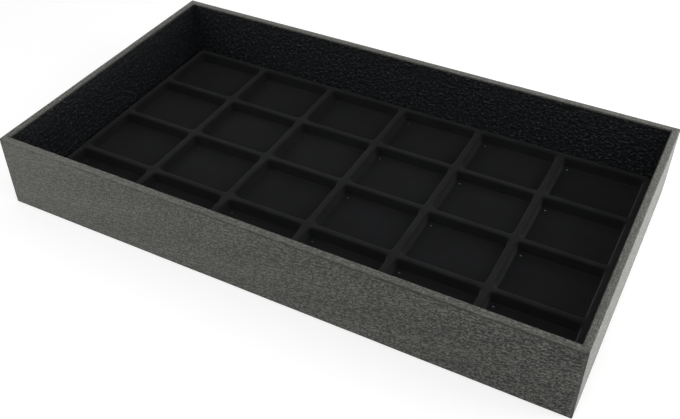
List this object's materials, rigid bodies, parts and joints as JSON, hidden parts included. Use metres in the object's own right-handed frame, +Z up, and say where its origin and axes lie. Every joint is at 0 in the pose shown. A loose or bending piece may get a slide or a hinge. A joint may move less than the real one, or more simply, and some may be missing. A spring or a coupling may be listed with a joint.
{
  "type": "jewelry display tray",
  "caption": "Open display tray of leatherette-covered boards with a lift-out flocked insert divided into shallow cells.",
  "frame": {"origin": "centre of the underside, on the surface that the tray stands on", "axes": "+X along the length, -Y towards the front wall, +Z up out of the open top"},
  "size_m": [0.3746, 0.2096, 0.0508],
  "materials": {
    "board": "raw fibreboard",
    "leatherette": "dark grey embossed grain, low sheen",
    "lining_paper": "black crinkled paper, low sheen",
    "flocked_sheet": "black flocked, fully matte",
    "base_paper": "black matt paper"
  },
  "bodies": {
    "tray": {"front_wall_board": "board", "back_wall_board": "board", "left_wall_board": "board", "right_wall_board": "board", "base_board": "board", "front_wrap": "leatherette", "back_wrap": "leatherette", "left_wrap": "leatherette", "right_wrap": "leatherette", "front_lining": "lining_paper", "back_lining": "lining_paper", "left_lining": "lining_paper", "right_lining": "lining_paper", "floor_lining": "lining_paper", "bottom_cover": "base_paper"},
    "insert": {"compartment_insert": "flocked_sheet"}
  },
  "joints": [
    {"name": "insert_lift", "type": "slide", "parent": "tray", "child": "insert", "axis": [0, 0, 1], "range_m": [0, 0.06]}
  ]
}
